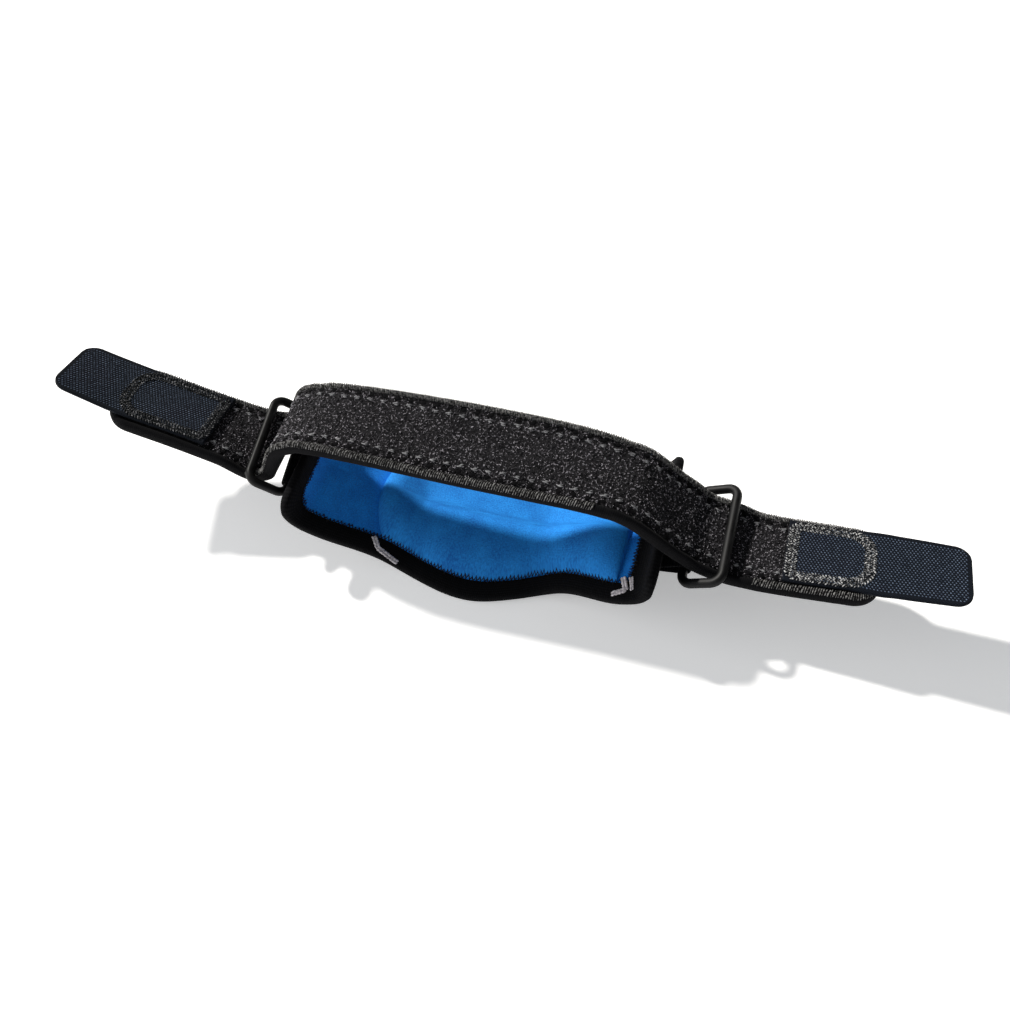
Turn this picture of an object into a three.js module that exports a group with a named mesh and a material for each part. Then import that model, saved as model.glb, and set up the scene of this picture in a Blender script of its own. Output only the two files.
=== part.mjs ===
// Tennis elbow strap, in millimetres, +Z up.
// It lies on its curved pad, with the arm's way through it along Y and the strap along X.
// The origin is the middle of the pad's flat bed, on the surface that it rests on.

import * as THREE from 'three';

// Clearance between pieces that touch on the real strap
const gap = 0.3;

// Pad, with lengths along its outer face from the middle out
const padFlatHalf = 24;
const padBendRadius = 40;
const padSlope = 26;
const padRun = 41;
const padEndRadius = 16;
const padEndSlope = 80;
const padEndWall = 6;
const lobeHalfWidth = 43;
const neckHalfWidth = { left: 34.8, right: 31.6 };
const endHalfWidth = 37.6;
const neckAt = 46;
const endWidthAt = 80;
const padCornerRadius = 8;
const shellThickness = 3.2;
const liningThickness = 1;

// Tape round the pad's edge
const bindingWidth = 9.3;
const bindingTape = 1.2;
const bindingLift = 0.2;
const bindingCornerRadius = 10;

// Pocket with the pressure insert
const pocketReach = { left: 57, right: 77 };
const pocketEndSag = { left: 9, right: 1 };
const pocketLipRadius = { left: 9, right: 14 };
const pocketCover = 1.2;
const insertHeight = 6.5;
const pocketSideFall = 3;

// Plastic rings
const ringWire = 4.2;
const ringSlotLength = 45.2;
const ringPitch = 19;
const ringCornerRadius = 5;
const barClearance = 1.2;
const rings = {
  left: { reach: 22.9, height: 37.3, tilt: 33, yaw: 7, roll: 1 },
  right: { reach: 25.7, height: 37.2, tilt: 29, yaw: 0, roll: -1 },
};

// Webbing loops that hold the rings
const keeperWidth = 35;
const keeperPly = 1.3;
const keeperFlap = 18;
const keeperFlapFromEnd = 18;
const keeperWrap = 200;

// Strap
const strapWidth = 40.2;
const bandThickness = 4.7;
const pileThickness = 1.4;
const beadWidth = 2.7;
const beadThickness = 7;
const archHeight = 65.2;
const tailEndRadius = 13;
const tailEndTurn = 75;
const tails = {
  left: { length: 95, rise: 31, tabFree: 26 },
  right: { length: 100.8, rise: 5.6, tabFree: 35 },
};

// Hook tape tabs
const tabWidth = 33.4;
const tabThickness = 1.6;
const tabLength = 76;
const tabCornerRadius = 7;

// How finely the pieces are cut
const padMaxStep = 9;
const padBendStep = 4;
const cornerSteps = 4;
const pocketSteps = 9;
const wireSides = 10;
const wrapSteps = 10;
const strapMaxStep = 11;
const strapMaxTurn = 14;
const routeMarks = 1200;
const routeStep = 0.5;

const radians = THREE.MathUtils.degToRad;

// Solids from rows of points

// Makes a mesh geometry from points and triangles, with its faces turned outwards
function solidFrom(points, triangles) {
  let volume = 0;
  for (const [a, b, c] of triangles) {
    volume += points[a].dot(new THREE.Vector3().crossVectors(points[b], points[c]));
  }
  const faces = volume < 0 ? triangles.map(([a, b, c]) => [a, c, b]) : triangles;
  const geometry = new THREE.BufferGeometry().setFromPoints(points);
  geometry.setIndex(faces.flat());
  geometry.computeVertexNormals();
  return geometry;
}

// Joins sections with the same count of points, as an open length with two caps or as a loop.
// A twisted face folds along its shorter diagonal, so that layers above each other fold alike.
function loft(sections, isLoop = false) {
  const count = sections[0].length;
  const points = sections.flat();
  const triangles = [];
  const spans = isLoop ? sections.length : sections.length - 1;
  for (let i = 0; i < spans; i += 1) {
    const here = i * count;
    const next = ((i + 1) % sections.length) * count;
    for (let k = 0; k < count; k += 1) {
      const turn = (k + 1) % count;
      const [a, b, c, d] = [here + k, here + turn, next + turn, next + k];
      if (points[a].distanceTo(points[c]) < points[b].distanceTo(points[d])) {
        triangles.push([a, b, c], [a, c, d]);
      } else {
        triangles.push([a, b, d], [b, c, d]);
      }
    }
  }
  if (!isLoop) {
    closeEnd(sections[0], 0, points, triangles, true);
    closeEnd(sections.at(-1), (sections.length - 1) * count, points, triangles, false);
  }
  return solidFrom(points, triangles);
}

function closeEnd(section, first, points, triangles, isStart) {
  const middle = section.reduce((sum, p) => sum.add(p), new THREE.Vector3());
  points.push(middle.divideScalar(section.length));
  const hub = points.length - 1;
  section.forEach((p, k) => {
    const next = (k + 1) % section.length;
    triangles.push(isStart ? [hub, first + next, first + k] : [hub, first + k, first + next]);
  });
}

// Closes the space between two grids of points, a lower and an upper one
function slab(lower, upper) {
  const rows = lower.length;
  const columns = lower[0].length;
  const points = [...lower.flat(), ...upper.flat()];
  const low = (r, c) => r * columns + c;
  const high = (r, c) => rows * columns + low(r, c);
  const triangles = [];
  const addQuad = (a, b, c, d) => triangles.push([a, b, c], [a, c, d]);
  for (let r = 0; r < rows - 1; r += 1) {
    for (let c = 0; c < columns - 1; c += 1) {
      addQuad(low(r, c), low(r, c + 1), low(r + 1, c + 1), low(r + 1, c));
      addQuad(high(r, c), high(r + 1, c), high(r + 1, c + 1), high(r, c + 1));
    }
    addQuad(low(r, 0), low(r + 1, 0), high(r + 1, 0), high(r, 0));
    addQuad(low(r + 1, columns - 1), low(r, columns - 1), high(r, columns - 1), high(r + 1, columns - 1));
  }
  for (let c = 0; c < columns - 1; c += 1) {
    addQuad(low(0, c + 1), low(0, c), high(0, c), high(0, c + 1));
    addQuad(low(rows - 1, c), low(rows - 1, c + 1), high(rows - 1, c + 1), high(rows - 1, c));
  }
  return solidFrom(points, triangles);
}

// Shape of the pad

const padMoves = [
  { length: padFlatHalf, turn: 0 },
  { length: padBendRadius * radians(padSlope), turn: padSlope },
  { length: padRun, turn: 0 },
  { length: padEndRadius * radians(padEndSlope - padSlope), turn: padEndSlope - padSlope },
  { length: padEndWall, turn: 0 },
];
const padHalfLength = padMoves.reduce((sum, move) => sum + move.length, 0);
const padReach = walkPad(padHalfLength).x;

// Follows the pad's outer face from the middle, over its straight and bent stretches
function walkPad(distance) {
  const at = { x: 0, z: 0, heading: 0 };
  let left = distance;
  for (const move of padMoves) {
    const step = Math.min(left, move.length);
    const turn = radians(move.turn) * step / move.length;
    const chord = turn === 0 ? step : step * Math.sin(turn / 2) / (turn / 2);
    at.x += chord * Math.cos(at.heading + turn / 2);
    at.z += chord * Math.sin(at.heading + turn / 2);
    at.heading += turn;
    left -= step;
  }
  return at;
}

// A point of the pad: along and across its outer face, and its height above that face
function onPad(along, across, height) {
  const side = along < 0 ? -1 : 1;
  const at = walkPad(Math.abs(along));
  const x = at.x - height * Math.sin(at.heading);
  return new THREE.Vector3(side * x, across, at.z + height * Math.cos(at.heading));
}

// Half the pad's width: a lobe in the middle, a neck and a wider end
function padHalfWidth(along) {
  const distance = Math.abs(along);
  const neck = along < 0 ? neckHalfWidth.left : neckHalfWidth.right;
  if (distance < neckAt) {
    const swell = Math.cos(Math.PI / 2 * distance / neckAt) ** 2;
    return neck + (lobeHalfWidth - neck) * swell;
  }
  const blend = THREE.MathUtils.smoothstep(distance, neckAt, endWidthAt);
  return neck + (endHalfWidth - neck) * blend;
}

// Where the round corner of the tape's inner edge is centred: along and across
const hemAlong = padHalfLength - bindingWidth - bindingCornerRadius;
const hemAcross = endHalfWidth - bindingWidth - bindingCornerRadius;

// Distances along the pad, close together in its bends, up to where the corners begin
function padStations() {
  const half = [0];
  let start = 0;
  for (const { length, turn } of padMoves) {
    const end = Math.min(start + length, hemAlong);
    const steps = Math.max(1, Math.ceil((end - start) / (turn === 0 ? padMaxStep : padBendStep)));
    for (let i = 1; i <= steps && end > start; i += 1) {
      half.push(start + (end - start) * i / steps);
    }
    start = end;
  }
  return [...half.slice(1).toReversed().map((along) => -along), ...half];
}

// A quarter of the outline round the right end's far corner, set in from the pad's edge
function rimCorner(inset) {
  const radius = padCornerRadius - inset;
  const bendAlong = padHalfLength - padCornerRadius;
  const bendAcross = endHalfWidth - padCornerRadius;
  const points = [];
  for (let i = 0; i < cornerSteps; i += 1) {
    const along = THREE.MathUtils.lerp(hemAlong, bendAlong, i / cornerSteps);
    points.push({ along, across: endHalfWidth - inset });
  }
  for (let i = 0; i <= cornerSteps; i += 1) {
    const angle = Math.PI / 2 * i / cornerSteps;
    points.push({
      along: bendAlong + radius * Math.sin(angle), across: bendAcross + radius * Math.cos(angle) });
  }
  points.push({ along: padHalfLength - inset, across: (bendAcross + hemAcross) / 2 });
  points.push({ along: padHalfLength - inset, across: hemAcross });
  return points;
}

// The same quarter for an outline that runs beside the tape's inner edge
function hemCorner(inset) {
  const radius = bindingWidth + bindingCornerRadius - inset;
  return rimCorner(0).map(({ along, across }) => {
    const angle = Math.atan2(along - hemAlong, across - hemAcross);
    return { along: hemAlong + radius * Math.sin(angle), across: hemAcross + radius * Math.cos(angle) };
  });
}

// One long edge of an outline, from the left end to the right one
function padEdge(inset, corner) {
  const head = corner.slice(1).toReversed().map(({ along, across }) => ({ along: -along, across }));
  const straight = padStations().map((along) => ({ along, across: padHalfWidth(along) - inset }));
  return [...head, ...straight, ...corner.slice(1)];
}

const rimEdge = (inset) => padEdge(inset, rimCorner(inset));
const hemEdge = (inset) => padEdge(inset, hemCorner(inset));

// The whole outline, there along one edge and back along the other
function padLoop(edge) {
  return edge.concat(edge.toReversed().map(({ along, across }) => ({ along, across: -across })));
}

// Half the width inside an outline beside the tape's inner edge
function hemHalfWidth(along, inset) {
  const radius = bindingWidth + bindingCornerRadius - inset;
  const over = Math.max(0, Math.abs(along) - hemAlong);
  return padHalfWidth(along) - inset - radius + Math.sqrt(Math.max(0, radius ** 2 - over ** 2));
}

const liningInset = bindingWidth + gap;
const liningTop = shellThickness + gap + liningThickness;

// Neoprene shell, thinner under the tape so that the tape lies flush with its outer face
function padShell() {
  const recess = bindingLift + bindingTape + gap;
  const flatInset = bindingWidth + 2 * gap;
  const flatEnd = padHalfLength - flatInset;
  const edge = rimEdge(bindingTape + gap).filter(({ along }, i, all) => (
    i === 0 || along - all[i - 1].along > gap / 10));
  const stepEnds = [flatEnd - gap, flatEnd + gap].map((along) => (
    { along, across: padHalfWidth(along) - bindingTape - gap }));
  const mirrored = stepEnds.map(({ along, across }) => ({ along: -along, across }));
  const stations = [...edge, ...stepEnds, ...mirrored].sort((a, b) => a.along - b.along);
  return loft(stations.map(({ along, across: outer }) => {
    const isFlat = Math.abs(along) < flatEnd;
    const flat = isFlat ? hemHalfWidth(along, flatInset) : outer / 2;
    const bottom = isFlat ? 0 : recess;
    return [
      onPad(along, -flat, bottom), onPad(along, flat, bottom),
      onPad(along, flat + gap, recess), onPad(along, outer, recess),
      onPad(along, outer, shellThickness), onPad(along, -outer, shellThickness),
      onPad(along, -outer, recess), onPad(along, -flat - gap, recess),
    ];
  }));
}

// Fabric face inside the tape
function padLining() {
  const bottom = shellThickness + gap;
  return loft(hemEdge(liningInset).map(({ along, across }) => [
    onPad(along, -across, bottom), onPad(along, across, bottom),
    onPad(along, across, liningTop), onPad(along, -across, liningTop),
  ]));
}

// Tape folded over the edge all round
function padBinding() {
  const round = bindingTape / 2;
  const rim = padLoop(rimEdge(0));
  const shoulder = padLoop(rimEdge(round));
  const fold = padLoop(rimEdge(bindingTape));
  const hem = padLoop(hemEdge(bindingWidth));
  const middle = hem.map(({ along, across }, i) => (
    { along: (along + fold[i].along) / 2, across: (across + fold[i].across) / 2 }));
  const bottom = bindingLift;
  const inBottom = bottom + bindingTape;
  const inTop = shellThickness + gap;
  const top = inTop + bindingTape;
  const place = ({ along, across }, height) => onPad(along, across, height);
  return loft(rim.map((point, i) => [
    place(hem[i], bottom), place(middle[i], bottom), place(shoulder[i], bottom),
    place(point, bottom + round), place(point, top - round),
    place(shoulder[i], top), place(middle[i], top), place(hem[i], top),
    place(hem[i], inTop), place(middle[i], inTop), place(fold[i], inTop),
    place(fold[i], inBottom), place(middle[i], inBottom), place(hem[i], inBottom),
  ]), true);
}

// Raised pocket across the pad, with a thick rounded lip at each end
function pressurePad() {
  const bottom = liningTop + gap;
  const shares = [];
  for (let i = -pocketSteps; i <= pocketSteps; i += 1) {
    shares.push(Math.sin(Math.PI / 2 * i / pocketSteps));
  }
  const grid = (heightAt) => shares.map((lengthShare) => shares.map((widthShare) => {
    const side = lengthShare < 0 ? 'left' : 'right';
    const reach = pocketReach[side] - pocketEndSag[side] * widthShare ** 2;
    const along = lengthShare * reach;
    const across = widthShare * hemHalfWidth(along, liningInset);
    return onPad(along, across, heightAt((reach - Math.abs(along)) / pocketLipRadius[side], widthShare));
  }));
  const swell = (lipShare, widthShare) => {
    const lip = 1 - Math.min(1, lipShare);
    return Math.sqrt(1 - lip ** 2) * (1 - Math.abs(widthShare) ** pocketSideFall);
  };
  const top = (lipShare, widthShare) => bottom + pocketCover + insertHeight * swell(lipShare, widthShare);
  return slab(grid(() => bottom), grid(top));
}

// Rings and the loops that hold them

// A round wire bent to a rectangle: the bars run along Y, the outer one on +X
function ringGeometry() {
  const halfPitch = ringPitch / 2;
  const halfLength = (ringSlotLength + ringWire) / 2;
  const corners = [
    { x: 1, y: 1, from: 0 }, { x: -1, y: 1, from: 90 },
    { x: -1, y: -1, from: 180 }, { x: 1, y: -1, from: 270 },
  ];
  const sections = [];
  for (const corner of corners) {
    const centre = new THREE.Vector3(
      corner.x * (halfPitch - ringCornerRadius), corner.y * (halfLength - ringCornerRadius), 0);
    for (let i = 0; i <= cornerSteps; i += 1) {
      const angle = radians(corner.from + 90 * i / cornerSteps);
      const outwards = new THREE.Vector3(Math.cos(angle), Math.sin(angle), 0);
      const section = [];
      for (let k = 0; k < wireSides; k += 1) {
        const turn = 2 * Math.PI * k / wireSides;
        const point = outwards.clone().multiplyScalar(ringCornerRadius + ringWire / 2 * Math.cos(turn));
        point.z = ringWire / 2 * Math.sin(turn);
        section.push(point.add(centre));
      }
      sections.push(section);
    }
  }
  return loft(sections, true);
}

// Sets a ring so that its outer bar stands off the pad's end at the given reach and height
function placeRing(mesh, side, { reach, height, tilt, yaw, roll }) {
  const turn = side > 0 ? 0 : 180;
  mesh.rotation.set(radians(-roll), radians(-tilt), radians(turn + yaw), 'XZY');
  mesh.updateMatrix();
  const toBar = new THREE.Vector3(ringPitch / 2, 0, 0).applyMatrix4(mesh.matrix);
  mesh.position.set(side * (padReach + reach), 0, height).sub(toBar);
  mesh.updateMatrixWorld(true);
}

// The middle line of a ring's bar where it crosses a given Y
function barAt(ring, end, y) {
  const onBar = (v) => new THREE.Vector3(end * ringPitch / 2, v, 0).applyMatrix4(ring.matrixWorld);
  const start = onBar(0);
  const step = onBar(1).sub(start);
  return start.addScaledVector(step, (y - start.y) / step.y);
}

// A webbing strip: sewn under the pad, out to the ring, round its inner bar and back
function ringKeeper(side, ring) {
  const near = padHalfLength - keeperFlapFromEnd;
  const flap = [];
  for (let i = 0; i <= cornerSteps; i += 1) {
    flap.push(near - keeperFlap * (1 - i / cornerSteps));
  }
  const ply = keeperPly;
  const strand = (along, y, depth) => onPad(side * along, y, -depth);
  const upper = gap + ply / 2;
  const lower = upper + ply + gap;
  const loopRadius = ringWire / 2 + gap + ply / 2;
  const route = (y) => {
    const bar = barAt(ring, -1, y);
    const away = bar.clone().sub(strand(near, y, (upper + lower) / 2)).normalize();
    const rise = new THREE.Vector3(-away.z, 0, away.x).multiplyScalar(side);
    const points = flap.map((along) => strand(along, y, lower));
    for (let i = 0; i <= wrapSteps; i += 1) {
      const angle = radians(keeperWrap) * (i / wrapSteps - 0.5);
      points.push(bar.clone().addScaledVector(away, loopRadius * Math.cos(angle))
        .addScaledVector(rise, loopRadius * Math.sin(angle)));
    }
    return [...points, ...flap.toReversed().map((along) => strand(along, y, upper))];
  };
  const nearEdge = route(-keeperWidth / 2);
  const farEdge = route(keeperWidth / 2);
  const faces = (points) => points.map((point, i) => {
    const before = points[Math.max(0, i - 1)];
    const after = points[Math.min(points.length - 1, i + 1)];
    const direction = after.clone().sub(before).normalize();
    const normal = new THREE.Vector3(-direction.z, 0, direction.x).multiplyScalar(ply / 2);
    return [point.clone().add(normal), point.clone().sub(normal)];
  });
  const nearFaces = faces(nearEdge);
  const farFaces = faces(farEdge);
  return loft(nearFaces.map(([a, b], i) => [a, b, farFaces[i][1], farFaces[i][0]]));
}

// Route of the strap

// Over the arm: shares of the pad's reach and of the arch's height, and the roll to the near side
const archRows = [
  { along: -1.1, rise: 0.673, roll: 0 },
  { along: -1.063, rise: 0.787, roll: -1 },
  { along: -1.024, rise: 0.862, roll: -2 },
  { along: -0.963, rise: 0.914, roll: -3 },
  { along: -0.863, rise: 0.963, roll: -3 },
  { along: -0.646, rise: 0.992, roll: 0 },
  { along: -0.337, rise: 1.0, roll: 5 },
  { along: 0, rise: 1.0, roll: 8 },
  { along: 0.318, rise: 0.998, roll: 7 },
  { along: 0.54, rise: 0.985, roll: 3 },
  { along: 0.694, rise: 0.955, roll: 0 },
  { along: 0.809, rise: 0.908, roll: 0 },
  { along: 0.915, rise: 0.797, roll: 0 },
  { along: 0.983, rise: 0.712, roll: 0 },
];

// In front of each ring: shares of the ring's pitch from its outer bar, towards the pad and up
const entryRows = {
  left: [{ inwards: 0.5, up: -0.17, roll: -3 }],
  right: [{ inwards: 0.96, up: 0.11, roll: 0 }, { inwards: 0.63, up: -0.16, roll: -1 }],
};

// Tails: shares of the length past the bar and of the rise at the tip
const tailRows = {
  left: [
    { along: 0.16, rise: 0.16, roll: -10 },
    { along: 0.4, rise: 0.37, roll: -12 },
    { along: 0.67, rise: 0.61, roll: -11 },
    { along: 0.84, rise: 0.8, roll: -13 },
    { along: 1, rise: 1, roll: -15 },
  ],
  right: [
    { along: 0.12, rise: -0.46, roll: -5 },
    { along: 0.25, rise: -0.38, roll: -6 },
    { along: 0.47, rise: 0.02, roll: -8 },
    { along: 0.7, rise: 0.43, roll: -8 },
    { along: 1, rise: 0.9, roll: -13 },
  ],
};

const beadHalf = beadThickness / 2;

function strapRoute(leftRing, rightRing) {
  const rows = [];
  const add = (x, z, roll) => rows.push({ x, z, roll });
  const drop = ringWire / 2 + barClearance + beadHalf;
  const side = (name, sign, ring) => {
    const bar = barAt(ring, 1, 0);
    const under = { x: bar.x, z: bar.z - drop };
    const tail = tailRows[name].map(({ along, rise, roll }) => (
      { x: under.x + sign * along * tails[name].length, z: under.z + rise * tails[name].rise, roll }));
    const entry = entryRows[name].map(({ inwards, up, roll }) => (
      { x: bar.x - sign * inwards * ringPitch, z: bar.z + up * ringPitch, roll }));
    return [...entry, { ...under, roll: -rings[name].roll }, ...tail];
  };
  for (const row of side('left', -1, leftRing).toReversed()) {
    add(row.x, row.z, row.roll);
  }
  for (const row of archRows) {
    add(row.along * padReach, row.rise * archHeight, row.roll);
  }
  for (const row of side('right', 1, rightRing)) {
    add(row.x, row.z, row.roll);
  }
  const middle = new THREE.CatmullRomCurve3(rows.map(({ x, z }) => new THREE.Vector3(x, 0, z)));
  const across = new THREE.CatmullRomCurve3(rows.map(({ roll }) => (
    new THREE.Vector3(0, Math.cos(radians(roll)), Math.sin(radians(roll))))));
  return measured(middle, across);
}

// Gives a route its length and a frame at any distance along it
function measured(middle, across) {
  const marks = [{ t: 0, distance: 0, point: middle.getPoint(0) }];
  for (let i = 1; i <= routeMarks; i += 1) {
    const t = i / routeMarks;
    const point = middle.getPoint(t);
    const last = marks.at(-1);
    marks.push({ t, distance: last.distance + point.distanceTo(last.point), point });
  }
  const length = marks.at(-1).distance;
  const frameAt = (distance) => {
    const beyond = marks.findIndex((mark) => mark.distance > distance);
    const next = beyond < 0 ? routeMarks : Math.max(1, beyond);
    const a = marks[next - 1];
    const b = marks[next];
    const t = THREE.MathUtils.mapLinear(distance, a.distance, b.distance, a.t, b.t);
    const sideways = across.getPoint(t).normalize();
    const ahead = middle.getTangent(t);
    const up = new THREE.Vector3().crossVectors(ahead, sideways).normalize();
    return { point: middle.getPoint(t), sideways, up, ahead };
  };
  return { length, frameAt };
}

function onStrap(route, distance, across, height) {
  const { point, sideways, up } = route.frameAt(distance);
  return point.addScaledVector(sideways, across).addScaledVector(up, height);
}

// Distances along the route, close together where it bends
function strapStations(route, from, to) {
  const stations = [from];
  let last = route.frameAt(from).ahead;
  for (let at = from; at < to - strapMaxStep / 4; at += routeStep) {
    const ahead = route.frameAt(at).ahead;
    const turned = THREE.MathUtils.radToDeg(ahead.angleTo(last));
    if (turned > strapMaxTurn || at - stations.at(-1) > strapMaxStep) {
      stations.push(at);
      last = ahead;
    }
  }
  return [...stations, to];
}

// One edge of the strap, set in from its outline and following its round ends
function strapEdge(route, inset) {
  const radius = tailEndRadius - inset;
  const centre = strapWidth / 2 - tailEndRadius;
  const start = tails.left.tabFree + tailEndRadius;
  const end = route.length - tails.right.tabFree - tailEndRadius;
  const corner = [];
  for (let i = 1; i <= cornerSteps; i += 1) {
    const angle = radians(tailEndTurn * i / cornerSteps);
    corner.push({ over: radius * Math.sin(angle), across: centre + radius * Math.cos(angle) });
  }
  const straight = strapStations(route, start, end).map((distance) => (
    { distance, across: centre + radius }));
  const head = corner.toReversed().map(({ over, across }) => ({ distance: start - over, across }));
  const foot = corner.map(({ over, across }) => ({ distance: end + over, across }));
  return [...head, ...straight, ...foot];
}

// A flat layer of the strap between two heights over the route
function strapLayer(route, inset, bottom, top) {
  return loft(strapEdge(route, inset).map(({ distance, across }) => [
    onStrap(route, distance, -across, bottom), onStrap(route, distance, across, bottom),
    onStrap(route, distance, across, top), onStrap(route, distance, -across, top),
  ]));
}

// Section of the bound edge: shares of the bead's width in from the edge and of half its thickness
const beadProfile = [
  { inset: 1, height: -0.95 },
  { inset: 1, height: 0.95 },
  { inset: 0.5, height: 1 },
  { inset: 0.17, height: 0.72 },
  { inset: 0, height: 0.25 },
  { inset: 0, height: -0.25 },
  { inset: 0.17, height: -0.72 },
  { inset: 0.5, height: -1 },
];

// The bound edge: a bead with a flat inner face and a round outer one
function strapBead(route, side) {
  const edges = beadProfile.map(({ inset }) => strapEdge(route, inset * beadWidth));
  return loft(edges[0].map((start, i) => beadProfile.map(({ height }, k) => (
    onStrap(route, edges[k][i].distance, side * edges[k][i].across, height * beadHalf)))));
}

// A hook tape tab, sewn on the tail's upper side and running on past its end
function hookTab(route, side) {
  const bottom = beadHalf + gap;
  const top = bottom + tabThickness;
  const toDistance = (fromTip) => (side < 0 ? fromTip : route.length - fromTip);
  const straight = [];
  for (let at = tabCornerRadius; at < tabLength; at += strapMaxStep) {
    straight.push({ fromTip: at, half: tabWidth / 2 });
  }
  const tip = [];
  for (let i = cornerSteps; i >= 1; i -= 1) {
    const angle = Math.PI / 2 * i / cornerSteps;
    const half = tabWidth / 2 - tabCornerRadius * (1 - Math.cos(angle));
    tip.push({ fromTip: tabCornerRadius * (1 - Math.sin(angle)), half });
  }
  const rows = [...tip, ...straight, { fromTip: tabLength, half: tabWidth / 2 }];
  return loft(rows.map(({ fromTip, half }) => [
    onStrap(route, toDistance(fromTip), -half, bottom), onStrap(route, toDistance(fromTip), half, bottom),
    onStrap(route, toDistance(fromTip), half, top), onStrap(route, toDistance(fromTip), -half, top),
  ]));
}

// The whole strap

const materials = {
  neoprene: { color: 0x0c0c0e, roughness: 0.95 },
  lining: { color: 0x0b4fae, roughness: 0.85 },
  pocket: { color: 0x1567b8, roughness: 0.85 },
  tape: { color: 0x09090b, roughness: 0.9 },
  plastic: { color: 0x0d0e10, roughness: 0.35 },
  pile: { color: 0x2a272b, roughness: 1 },
  overlock: { color: 0x3a373a, roughness: 0.95 },
  hook: { color: 0x141a24, roughness: 0.7 },
};

function piece(name, geometry, finish) {
  const mesh = new THREE.Mesh(geometry, new THREE.MeshStandardMaterial({ metalness: 0, ...finish }));
  mesh.name = name;
  return mesh;
}

const pad = new THREE.Group();
pad.add(piece('pad_shell', padShell(), materials.neoprene));
pad.add(piece('pad_lining', padLining(), materials.lining));
pad.add(piece('pad_binding', padBinding(), materials.tape));
pad.add(piece('pressure_pad', pressurePad(), materials.pocket));

const ringLeft = piece('ring_left', ringGeometry(), materials.plastic);
const ringRight = piece('ring_right', ringGeometry(), materials.plastic);
placeRing(ringLeft, -1, rings.left);
placeRing(ringRight, 1, rings.right);
const fittings = new THREE.Group();
fittings.add(ringLeft, ringRight);
fittings.add(piece('ring_keeper_left', ringKeeper(-1, ringLeft), materials.tape));
fittings.add(piece('ring_keeper_right', ringKeeper(1, ringRight), materials.tape));

const route = strapRoute(ringLeft, ringRight);
const bandBottom = -beadHalf + gap;
const bandTop = bandBottom + bandThickness;
const pileBottom = bandTop + gap;
const coreInset = beadWidth + gap;
const strap = new THREE.Group();
const band = strapLayer(route, coreInset, bandBottom, bandTop);
const pile = strapLayer(route, coreInset, pileBottom, pileBottom + pileThickness);
strap.add(piece('strap_band', band, materials.neoprene));
strap.add(piece('strap_pile', pile, materials.pile));
strap.add(piece('strap_binding_near', strapBead(route, -1), materials.overlock));
strap.add(piece('strap_binding_far', strapBead(route, 1), materials.overlock));
strap.add(piece('hook_tab_left', hookTab(route, -1), materials.hook));
strap.add(piece('hook_tab_right', hookTab(route, 1), materials.hook));

const elbowStrap = new THREE.Group();
elbowStrap.add(pad, fittings, strap);

export default elbowStrap;
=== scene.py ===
import math
import random

import bmesh
import bpy
from mathutils import Matrix, Vector, noise


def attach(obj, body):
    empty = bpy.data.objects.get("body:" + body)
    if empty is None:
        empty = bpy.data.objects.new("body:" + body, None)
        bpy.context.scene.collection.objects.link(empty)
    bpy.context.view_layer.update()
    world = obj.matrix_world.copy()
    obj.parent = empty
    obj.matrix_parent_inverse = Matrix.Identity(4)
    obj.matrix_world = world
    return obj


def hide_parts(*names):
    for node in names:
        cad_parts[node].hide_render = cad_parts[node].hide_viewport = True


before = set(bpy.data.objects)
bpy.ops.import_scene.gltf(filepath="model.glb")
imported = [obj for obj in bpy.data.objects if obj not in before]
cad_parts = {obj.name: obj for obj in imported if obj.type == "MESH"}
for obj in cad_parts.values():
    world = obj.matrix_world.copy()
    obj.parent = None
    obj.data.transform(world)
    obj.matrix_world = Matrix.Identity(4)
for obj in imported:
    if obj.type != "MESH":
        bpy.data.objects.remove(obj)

# Pieces are modelled flat in millimetres, then bent onto the pad or the strap and scaled to metres
mm = 0.001
gap = 0.3
chance = random.Random(7)
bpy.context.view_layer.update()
print("frame loaded:", len(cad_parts), "nodes")

# Camera at the photograph's angle
view = {
    "aim": (10, 0, 22),
    "azimuth": 21,
    "elevation": 57,
    "roll": -6,
    "distance": 472,
    "focalPixels": 1000,
    "imagePixels": 1010,
}


def placeCamera():
    turn, lift, roll = (math.radians(view[key]) for key in ("azimuth", "elevation", "roll"))
    back = Vector((math.sin(turn) * math.cos(lift), -math.cos(turn) * math.cos(lift), math.sin(lift)))
    right = Vector((math.cos(turn), math.sin(turn), 0))
    up = back.cross(right)
    across = right * math.cos(roll) + up * math.sin(roll)
    upwards = up * math.cos(roll) - right * math.sin(roll)
    camera = bpy.data.objects.new("camera", bpy.data.cameras.new("camera"))
    camera.data.sensor_width = 36
    camera.data.lens = camera.data.sensor_width * view["focalPixels"] / view["imagePixels"]
    camera.data.clip_start = 0.01
    turned = Matrix((across, upwards, back)).transposed().to_4x4()
    camera.matrix_world = Matrix.Translation((Vector(view["aim"]) + back * view["distance"]) * mm) @ turned
    bpy.context.scene.collection.objects.link(camera)
    bpy.context.scene.camera = camera


# Light and floor
studio = {
    "sunFrom": (-1.05, 0.54, 1.0),
    "sunStrength": 5.6,
    "sunAngle": 4.0,
    "skyStrength": 0.15,
    "skyColor": (0.86, 0.93, 1.0),
    "softboxes": (((-0.95, -0.35, 0.42), 6.0), ((0.15, -1.0, 0.5), 3.2)),
    "softboxSize": 0.9,
    "floorSize": 8.0,
    "floorColor": (0.9, 0.9, 0.9),
    "floorGlow": 0.3,
}


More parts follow.
